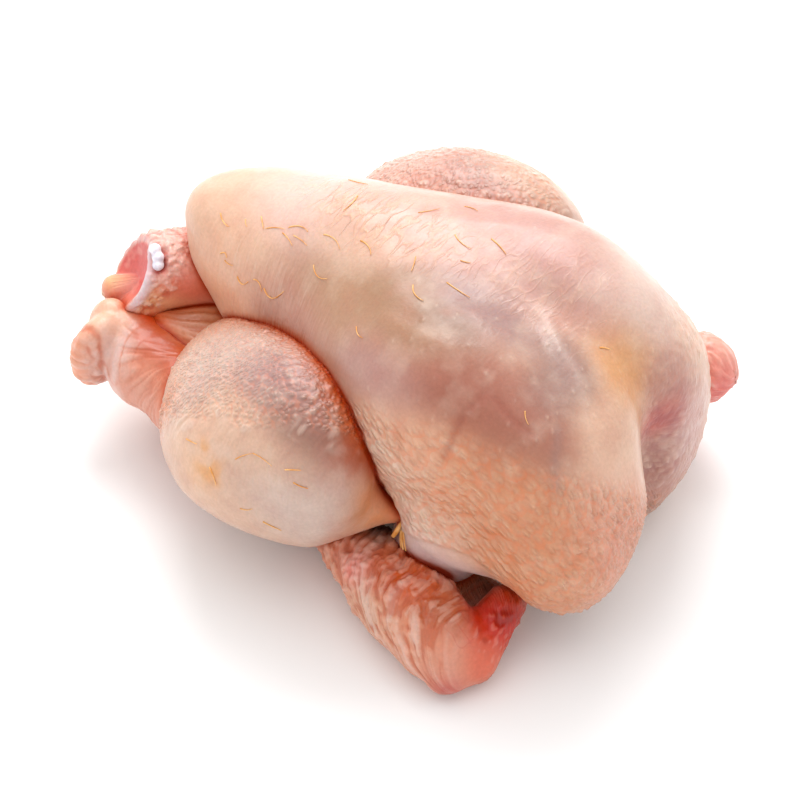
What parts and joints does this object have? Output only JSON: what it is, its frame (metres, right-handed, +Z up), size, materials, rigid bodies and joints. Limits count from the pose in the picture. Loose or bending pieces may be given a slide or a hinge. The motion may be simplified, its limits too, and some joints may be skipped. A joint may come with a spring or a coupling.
{
  "type": "whole raw chicken",
  "caption": "Whole raw chicken, plucked and oven ready, resting on its back with the breast up, the legs tucked in and the wings folded at the shoulders.",
  "frame": {"origin": "on the table, under the middle of the bird's bounding box", "axes": "+X from the shanks towards the neck end, +Y towards the bird's right side, +Z up through the breast"},
  "size_m": [0.2291, 0.1846, 0.114],
  "materials": {
    "raw_skin": "satin",
    "gristle": "gloss"
  },
  "bodies": {
    "root": {"flesh_and_skin": "raw_skin", "ankle_gristle": "gristle"}
  },
  "joints": []
}
